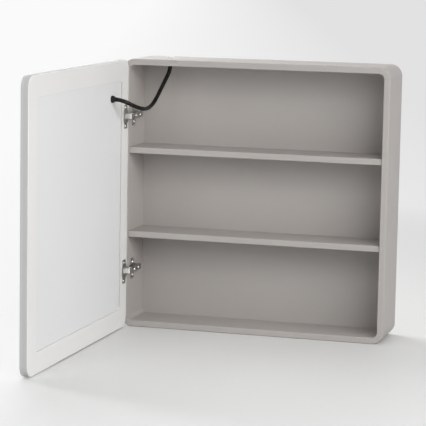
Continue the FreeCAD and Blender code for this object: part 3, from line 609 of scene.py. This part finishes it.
@dataclass(frozen=True)
class Ground:
    """Pale studio floor: lamp-lit near the object with painted light and shade in its tone, and its own pale
    tone far off, with painted light falloff from left to right and painted light over the door's shadow on
    the left.
    """

    name: str
    near: Colour = (0.78, 0.78, 0.775)
    bounce: Colour = (0.67, 0.67, 0.67)
    # The far pale tone, as painted light falloff: paler on the left, darker on the right.
    left: Colour = (0.955, 0.955, 0.955)
    right: Colour = (0.76, 0.76, 0.765)
    roughness: float = 0.5
    shine: float = 0.15
    heading: float = math.radians(16.4)
    side_span: Span = (-1.1, 1.1)
    depth_span: Span = (-1.9, -0.5)
    # Painted light and shade on the floor near the object: shares of the near tone in front, behind on the
    # left and behind on the right.
    front_painted_light_tone: float = 0.96
    left_painted_light_tone: float = 0.99
    right_painted_light_tone: float = 1.09
    dust: Clouds = Clouds(40.0, 4.0)
    dust_share: float = 0.04
    dust_tone: float = 0.8
    far_span: Span = (0.9, 2.6)
    # Painted light: the span across which the pale tone covers the door's shadow past the object's left side.
    painted_light_left_span: Span = (-0.68, -0.48)

    def turned(self, graph: Graph) -> tuple[Socket, Socket]:
        """Turns the floor's own coordinates by the fixed heading.

        Args:
            graph: the material's nodes.

        Returns:
            The coordinates to the right and into the depth.
        """
        turn = graph.node("ShaderNodeMapping")
        turn.inputs["Rotation"].default_value = (0.0, 0.0, -self.heading)
        graph.link(graph.places.outputs[Place.OBJECT.value], turn.inputs["Vector"])
        parts = graph.node("ShaderNodeSeparateXYZ")
        graph.link(turn.outputs[0], parts.inputs[0])
        return parts.outputs[Axis.X.value], parts.outputs[Axis.Y.value]

    def lit(self, graph: Graph, side: Socket, depth: Socket) -> Socket:
        """Gives the colour near the object: tones of painted light and shade, one in front and a left and a
        right one behind, and dust.

        Args:
            graph: the material's nodes.
            side: 0 on the left and 1 on the right.
            depth: coordinate into the depth.

        Returns:
            The colour.
        """
        # Painted light and shade: the near tone is darker in front and lighter behind on the right.
        behind = graph.blend(side, shade(self.near, self.left_painted_light_tone), shade(self.near, self.right_painted_light_tone))
        tone = graph.blend(graph.spread(depth, 0.0, 1.0, self.depth_span),
                           shade(self.near, self.front_painted_light_tone), behind)
        dust = graph.spread(graph.noise(self.dust), 0.0, self.dust_share)
        return graph.blend(dust, tone, shade(self.near, self.dust_tone))

    def away(self, graph: Graph, across: Socket) -> Socket:
        """Marks where the floor shows its own pale tone: far from the object, and past its left side, where
        the pale tone is painted light over the door's shadow.

        Args:
            graph: the material's nodes.
            across: coordinate to the right.

        Returns:
            The mask.
        """
        reach = graph.node("ShaderNodeVectorMath")
        reach.operation = "LENGTH"
        graph.link(graph.places.outputs[Place.OBJECT.value], reach.inputs[0])
        far = graph.spread(reach.outputs["Value"], 0.0, 1.0, self.far_span)
        return graph.figure(Sum.MAXIMUM, far, graph.spread(across, 1.0, 0.0, self.painted_light_left_span))

    def make(self) -> bpy.types.Material:
        """Builds the material, which lights the object with the bounce colour, whatever colour it shows.

        Returns:
            The material.
        """
        graph = Graph(self.name)
        graph.fix(Roughness=self.roughness, Specular_IOR_Level=self.shine)
        across, depth = self.turned(graph)
        side = graph.spread(across, 0.0, 1.0, self.side_span)
        shown = showing_rays(graph.tree)
        graph.feed("Base Color", graph.blend(shown, shade(self.bounce), self.lit(graph, side, depth)))
        pale = graph.node("ShaderNodeEmission")
        # Painted light falloff: the far pale tone runs from the paler left to the darker right.
        graph.link(graph.blend(side, shade(self.left), shade(self.right)), pale.inputs["Color"])
        mix = graph.node("ShaderNodeMixShader")
        # Painted light: the pale tone also covers the door's shadow past the object's left side.
        graph.link(graph.figure(Sum.MULTIPLY, self.away(graph, across), shown), mix.inputs[0])
        graph.link(graph.shader.outputs[0], mix.inputs[1])
        graph.link(pale.outputs[0], mix.inputs[2])
        graph.link(mix.outputs[0], graph.output.inputs["Surface"])
        return graph.material


Finish = Lacquer | Metal | Moulded | Fibre | Silvered | Sheath


def dress(finish: Finish, *nodes: str) -> None:
    """Gives CAD nodes one finish.

    Args:
        finish: the finish to make.
        nodes: names of the nodes.
    """
    material = finish.make()
    for name in nodes:
        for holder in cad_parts[name].material_slots:
            holder.material = material
        log.info("%s: %s", name, finish.name)


def grid_mesh(name: str, points: np.ndarray, closed: bool = False) -> bpy.types.Object:
    """Makes an object from a grid of points, as quads between neighbouring rows and columns.

    Args:
        name: the object's name.
        points: array of rows by columns by 3.
        closed: joins the last column to the first and closes both ends with one face.

    Returns:
        The object, with a UV map of turns around and metres along.
    """
    rows, columns = points.shape[:2]
    spans = np.arange(rows - 1), np.arange(columns if closed else columns - 1)
    row, column = np.meshgrid(*spans, indexing="ij")
    after = (column + 1) % columns
    here = row * columns
    there = (row + 1) * columns
    quads = np.stack([here + column, here + after, there + after, there + column], axis=-1)
    faces = quads.reshape(-1, 4).tolist()
    if closed:
        ring = np.arange(columns)
        faces += [ring[::-1].tolist(), ((rows - 1) * columns + ring).tolist()]
    mesh = bpy.data.meshes.new(name)
    mesh.from_pydata(points.reshape(-1, 3).tolist(), [], faces)
    steps = np.linalg.norm(np.diff(points[:, 0], axis=0), axis=-1)
    along = np.concatenate([[0.0], np.cumsum(steps)])
    left, right = column / columns, (column + 1) / columns
    low, high = along[row], along[row + 1]
    uv = np.stack([left, low, right, low, right, high, left, high], axis=-1).reshape(-1)
    layer = mesh.uv_layers.new(name="UVMap")
    layer.data.foreach_set("uv", np.pad(uv, (0, 2 * len(mesh.loops) - len(uv))).astype(np.float32))
    mesh.polygons.foreach_set("use_smooth", np.ones(len(mesh.polygons), dtype=bool))
    mesh.update()
    piece = bpy.data.objects.new(name, mesh)
    bpy.context.collection.objects.link(piece)
    return piece


def hang_lamp(data: bpy.types.Light, place: Point, target: Point) -> None:
    """Hangs a lamp so that it points at a target.

    Args:
        data: the lamp.
        place: where it hangs.
        target: what it points at.
    """
    lamp = bpy.data.objects.new(data.name, data)
    bpy.context.collection.objects.link(lamp)
    facing = (Vector(target) - Vector(place)).to_track_quat("-Z", "Y")
    lamp.matrix_world = Matrix.Translation(place) @ facing.to_matrix().to_4x4()


@dataclass(frozen=True)
class Softbox:
    """A square soft light: its place, what it points at, its side in metres and its power in watts."""

    name: str
    place: Point
    target: Point
    size: float
    power: float

    def hang(self) -> None:
        """Makes the light and hangs it."""
        data = bpy.data.lights.new(self.name, "AREA")
        data.size = self.size
        data.energy = self.power
        hang_lamp(data, self.place, self.target)


@dataclass(frozen=True)
class Overhead:
    """An even soft light: the direction it comes from, its strength, and its angle across in degrees."""

    lean: Point
    strength: float
    spread: float

    def hang(self) -> None:
        """Makes the light and points it along its lean."""
        data = bpy.data.lights.new("overhead", "SUN")
        data.energy = self.strength
        data.angle = math.radians(self.spread)
        hang_lamp(data, self.lean, (0.0, 0.0, 0.0))


@dataclass
class Studio:
    """Camera, floor and light."""

    camera_place: Point = (1.355841, -5.035504, 1.024191)
    yaw: float = -0.286
    pitch: float = 0.137
    roll: float = 0.018
    focal_pixels: float = 2032.41
    image_pixels: float = 426.0
    sensor_mm: float = 36.0
    far_clip: float = 200.0
    floor_half: float = 40.0
    floor_drop: float = 0.0004
    floor_points: int = 9
    ambient: float = 0.04
    ambient_colour: Colour = (1.0, 1.0, 1.0)
    sky: Colour = (0.88, 0.88, 0.885)
    overhead: Overhead = Overhead(lean=(-0.06, 0.04, 1.0), strength=0.95, spread=70.0)
    softboxes: tuple[Softbox, ...] = (
        Softbox("left_top", place=(-1.0, 0.9, 1.7), target=(-0.3, 0.1, 0.7), size=1.2, power=17.0),
        Softbox("left", place=(-2.6, 0.3, 1.5), target=(-0.3, -0.5, 0.1), size=0.7, power=24.0),
        Softbox("front", place=(2.5, -3.1, 2.0), target=(0.0, -0.1, 0.35), size=2.6, power=91.0),
        Softbox("front_left", place=(-0.9, -3.4, 2.3), target=(0.0, -0.1, 0.35), size=1.4, power=19.0),
        Softbox("right", place=(3.7, -1.6, 1.6), target=(0.0, -0.1, 0.35), size=1.6, power=42.0))

    def aim_camera(self) -> None:
        """Sets the camera: right, up and back axes from its yaw, pitch and roll."""
        level = Vector((math.cos(self.yaw), -math.sin(self.yaw), 0.0))
        ahead = Vector((math.sin(self.yaw), math.cos(self.yaw), 0.0))
        forward = ahead * math.cos(self.pitch) - Vector((0.0, 0.0, math.sin(self.pitch)))
        above = level.cross(forward)
        right = level * math.cos(self.roll) + above * math.sin(self.roll)
        up = above * math.cos(self.roll) - level * math.sin(self.roll)
        data = bpy.data.cameras.new("camera")
        data.sensor_fit = "HORIZONTAL"
        data.sensor_width = self.sensor_mm
        data.lens = self.focal_pixels * self.sensor_mm / self.image_pixels
        data.clip_end = self.far_clip
        camera = bpy.data.objects.new("camera", data)
        bpy.context.collection.objects.link(camera)
        turn = Matrix((right, up, -forward)).transposed().to_4x4()
        camera.matrix_world = Matrix.Translation(self.camera_place) @ turn
        bpy.context.scene.camera = camera

    def lay_floor(self) -> None:
        """Lays a flat square floor just under the cabinet: x and y run evenly from edge to edge."""
        run = np.linspace(-self.floor_half, self.floor_half, self.floor_points)
        across, deep = np.meshgrid(run, run)
        level = np.full_like(across, -self.floor_drop)
        floor = grid_mesh("floor", np.stack([across, deep, level], axis=-1))
        floor.data.materials.append(Ground("studio_floor").make())
        log.info("floor: studio_floor")

    def fill_world(self) -> None:
        """Sets an even ambient light, which the camera and reflections see as the pale backdrop."""
        world = bpy.data.worlds.new("studio")
        world.use_nodes = True
        tree = world.node_tree
        tree.nodes.clear()
        ambient = tree.nodes.new("ShaderNodeBackground")
        ambient.inputs["Strength"].default_value = self.ambient
        ambient.inputs["Color"].default_value = shade(self.ambient_colour)
        backdrop = tree.nodes.new("ShaderNodeBackground")
        backdrop.inputs["Color"].default_value = shade(self.sky)
        mix = tree.nodes.new("ShaderNodeMixShader")
        tree.links.new(showing_rays(tree), mix.inputs[0])
        tree.links.new(ambient.outputs[0], mix.inputs[1])
        tree.links.new(backdrop.outputs[0], mix.inputs[2])
        output = tree.nodes.new("ShaderNodeOutputWorld")
        tree.links.new(mix.outputs[0], output.inputs["Surface"])
        bpy.context.scene.world = world

    def build(self) -> None:
        """Puts up the camera, floor and lights."""
        bpy.context.scene.view_settings.view_transform = "Standard"
        self.aim_camera()
        self.lay_floor()
        self.fill_world()
        for light in (self.overhead, *self.softboxes):
            light.hang()


@dataclass
class LightCable:
    """The black cable that feeds the door's light, from the grommet in the door to the gland in the top."""

    # The solid's route, with its middle up to 10 mm off the solid's line, to hang as photographed.
    route: tuple[Point, ...] = (
        (-0.3385, -0.2020, 0.6040), (-0.3190, -0.2020, 0.6040), (-0.2995, -0.1985, 0.5980),
        (-0.2855, -0.1870, 0.5890), (-0.2770, -0.1650, 0.5815), (-0.2735, -0.1350, 0.5765),
        (-0.2730, -0.1020, 0.5760), (-0.2725, -0.0685, 0.5830), (-0.2700, -0.0410, 0.5995),
        (-0.2650, -0.0190, 0.6225), (-0.2580, -0.0020, 0.6470), (-0.2500, 0.0090, 0.6700),
        (-0.2500, 0.0090, 0.6930))
    diameter: float = 0.0105
    length: float = 0.325
    sides: int = 28
    order: int = 3
    steps: int = 14
    reference: Point = (1.0, -1.0, 1.0)
    finish: Sheath = Sheath("black_sheath", (0.006, 0.006, 0.006))

    def centre_line(self) -> np.ndarray:
        """Reads the points of a smooth spline whose control points are the route's points.

        Returns:
            Array of points by 3.
        """
        curve = bpy.data.curves.new("cable_route", "CURVE")
        curve.dimensions = "3D"
        spline = curve.splines.new("NURBS")
        spline.points.add(len(self.route) - 1)
        weights = np.ones((len(self.route), 1))
        spline.points.foreach_set("co", np.hstack([np.array(self.route), weights]).ravel())
        spline.order_u = self.order
        spline.use_endpoint_u = True
        spline.resolution_u = self.steps
        holder = bpy.data.objects.new("cable_route", curve)
        line = bpy.data.meshes.new_from_object(holder)
        points = np.empty(3 * len(line.vertices))
        line.vertices.foreach_get("co", points)
        bpy.data.objects.remove(holder)
        bpy.data.curves.remove(curve)
        bpy.data.meshes.remove(line)
        return points.reshape(-1, 3)

    def sleeve(self, line: np.ndarray) -> np.ndarray:
        """Carries a circle along the line.

        Each point is the centre, plus the radius times the cosine and sine of the turn on two cross axes.

        Args:
            line: points of the centre line.

        Returns:
            Grid of points, one row to a point of the line.
        """
        along = np.gradient(line, axis=0)
        along /= np.linalg.norm(along, axis=1, keepdims=True)
        first = np.cross(along, np.array(self.reference))
        first /= np.linalg.norm(first, axis=1, keepdims=True)
        second = np.cross(along, first)
        turn = np.linspace(0.0, 2 * np.pi, self.sides, endpoint=False)[None, :, None]
        ring = np.cos(turn) * first[:, None] + np.sin(turn) * second[:, None]
        return line[:, None] + self.diameter / 2 * ring

    def build(self) -> None:
        """Builds the sleeve and hangs it between the cabinet and the door."""
        line = self.centre_line()
        piece = grid_mesh("cable_sleeve", self.sleeve(line), closed=True)
        piece.data.materials.append(self.finish.make())
        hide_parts("light_cable")
        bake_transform(piece)
        log.info("cable_sleeve: %d points along", len(line))


@dataclass
class Carcass:
    """Grey boards, shelves and back, with the hidden wood and steel that joins them."""

    grey: Colour = (0.455, 0.428, 0.409)
    back_grey: Colour = (0.455, 0.430, 0.411)
    joint_tone: float = 0.82
    batten: Colour = (0.50, 0.36, 0.22)
    batten_dark: Colour = (0.36, 0.24, 0.13)
    beech: Colour = (0.62, 0.45, 0.27)
    beech_dark: Colour = (0.44, 0.29, 0.16)
    zinc: Colour = (0.62, 0.62, 0.63)

    def post_joints(self, post: str) -> tuple[Seam, Seam]:
        """Finds the joint lines of a corner post, on its faces nearest to the cabinet's middle.

        Args:
            post: the post's node.

        Returns:
            The joints with the level board and with the upright one.
        """
        middle = (CAD_BOX[0][2] + CAD_BOX[1][2]) / 2
        low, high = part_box(post)
        across = min(low[0], high[0], key=abs)
        height = min(low[2], high[2], key=lambda place: abs(place - middle))
        return Seam(Axis.X, across, self.joint_tone), Seam(Axis.Z, height, self.joint_tone)

    def dress(self) -> None:
        """Gives every board its finish."""
        dress(Lacquer("grey_lacquer", self.grey), "side_left", "side_right", "top_panel", "bottom_panel")
        for post in ("corner_top_left", "corner_top_right", "corner_bottom_left", "corner_bottom_right"):
            dress(Lacquer(f"{post}_lacquer", self.grey, seams=self.post_joints(post)), post)
        dress(Lacquer("shelf_lacquer", self.grey, roughness=0.45), "shelf_upper", "shelf_lower")
        dress(Lacquer("back_lacquer", self.back_grey, roughness=0.6, drift=0.04, shine=0.1), "back_panel")
        dress(Fibre("batten_fibreboard", self.batten, self.batten_dark), "hanging_batten")
        dress(Fibre("beech_dowel", self.beech, self.beech_dark, strand=900.0), "corner_dowels")
        dress(Metal("zinc_pin", self.zinc, run=Run.ACROSS), "shelf_pins")


@dataclass
class Hangers:
    """Stamped keyhole plates let into the batten, and their screws."""

    plate_zinc: Colour = (0.58, 0.59, 0.60)
    screw_zinc: Colour = (0.66, 0.66, 0.66)

    def dress(self) -> None:
        """Gives the plates and screws their zinc."""
        dress(Metal("zinc_plate", self.plate_zinc, roughness=0.38, run=Run.ACROSS, stain=0.25),
              "hanger_plate_left", "hanger_plate_right")
        dress(Metal("zinc_screw", self.screw_zinc, run=Run.EVEN), "hanger_screws")


@dataclass
class Hinges:
    """Two concealed cup hinges: cup in the door, arm and winged plate on the side."""

    nickel: Colour = (0.40, 0.388, 0.37)
    # Painted highlight on the arms' faces that look along Y, standing in for a lamp's reflection.
    painted_highlight_white: Colour = (0.97, 0.965, 0.95)
    screw_nickel: Colour = (0.78, 0.78, 0.77)
    pin_steel: Colour = (0.56, 0.56, 0.57)

    def dress(self) -> None:
        """Gives the hinge pieces their nickel and steel."""
        dress(Metal("satin_nickel", self.nickel),
              "hinge_plate_upper", "hinge_plate_lower", "hinge_cup_upper", "hinge_cup_lower")
        # The arms carry a painted highlight on their faces that look along Y.
        dress(Metal("arm_nickel", self.nickel, roughness=0.28, front=self.painted_highlight_white),
              "hinge_arm_upper", "hinge_arm_lower")
        dress(Metal("bright_screw", self.screw_nickel, roughness=0.26, run=Run.EVEN),
              "plate_screws", "arm_screws", "cup_screws")
        dress(Metal("steel_pin", self.pin_steel, roughness=0.26), "hinge_pin_upper", "hinge_pin_lower")


@dataclass
class Door:
    """White door frame with its mirror, light ring and cover."""

    white: Colour = (0.882, 0.875, 0.862)
    edge_grey: Colour = (0.58, 0.58, 0.57)
    ledge_margin: float = 0.02
    cover_white: Colour = (0.850, 0.853, 0.857)
    # Painted shade in the gap where the cover meets the frame: shares of the cover's tone, darkest on the
    # hinge side.
    hinge_side_shade: float = 0.7
    free_side_shade: float = 0.94
    level_side_shade: float = 0.9
    opal: Colour = (0.84, 0.85, 0.85)
    opal_edge: Colour = (0.60, 0.61, 0.61)
    silver: Colour = (0.90, 0.92, 0.92)
    glass_edge: Colour = (0.22, 0.42, 0.37)
    solder_mask: Colour = (0.80, 0.80, 0.77)
    phosphor: Colour = (0.82, 0.66, 0.18)
    driver_white: Colour = (0.76, 0.76, 0.74)

    def dress_boards(self) -> None:
        """Gives the frame its white with grey edges, and the cover its powder coat with painted shade lines
        in the gap round its edges, darkest on the hinge side.
        """
        low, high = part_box("door_cover")
        band = Band(self.edge_grey, (low[2] + high[2]) / 2, (high[2] - low[2]) / 2 + self.ledge_margin)
        dress(Lacquer("white_lacquer", self.white, roughness=0.4, drift=0.015, band=band), "door_frame")
        # Painted shade lines in the gap round the cover, darkest on the hinge side.
        painted_gap_shade = (Seam(Axis.Y, high[1], self.hinge_side_shade), Seam(Axis.Y, low[1], self.free_side_shade),
               Seam(Axis.Z, high[2], self.level_side_shade), Seam(Axis.Z, low[2], self.level_side_shade))
        dress(Lacquer("white_powder_coat", self.cover_white, roughness=0.5, drift=0.012, peel=700.0,
                      depth=0.00004, seams=painted_gap_shade), "door_cover")

    def dress(self) -> None:
        """Gives the door's pieces their finishes."""
        self.dress_boards()
        dress(Moulded("opal_acrylic", self.opal, roughness=0.55, grain=2400.0, depth=0.00001,
                      bloom_share=0.02, edge=self.opal_edge), "light_ring")
        dress(Silvered("silvered_glass", self.silver, self.glass_edge), "mirror_glass")
        dress(Moulded("white_solder_mask", self.solder_mask, roughness=0.3), "led_boards")
        dress(Moulded("phosphor", self.phosphor, roughness=0.35), "led_chips")
        dress(Moulded("driver_shell", self.driver_white), "led_driver")


@dataclass
class CableFittings:
    """Grommet in the door cover, and the gland with its nut in the top board."""

    black: Colour = (0.008, 0.008, 0.008)
    pale: Colour = (0.84, 0.84, 0.83)

    def dress(self) -> None:
        """Gives the grommet its rubber and the gland its plastic."""
        dress(Moulded("black_rubber", self.black, roughness=0.55, bloom_share=0.02, shine=0.25),
              "door_grommet")
        dress(Moulded("pale_polyamide", self.pale, roughness=0.45), "top_gland", "gland_nut")


def main() -> None:
    """Builds the scene's parts in order."""
    logging.basicConfig(level=logging.INFO, format="%(name)s: %(message)s")
    Studio().build()
    LightCable().build()
    for part in (Carcass(), Hangers(), Hinges(), Door(), CableFittings()):
        part.dress()


if __name__ == "__main__":
    main()
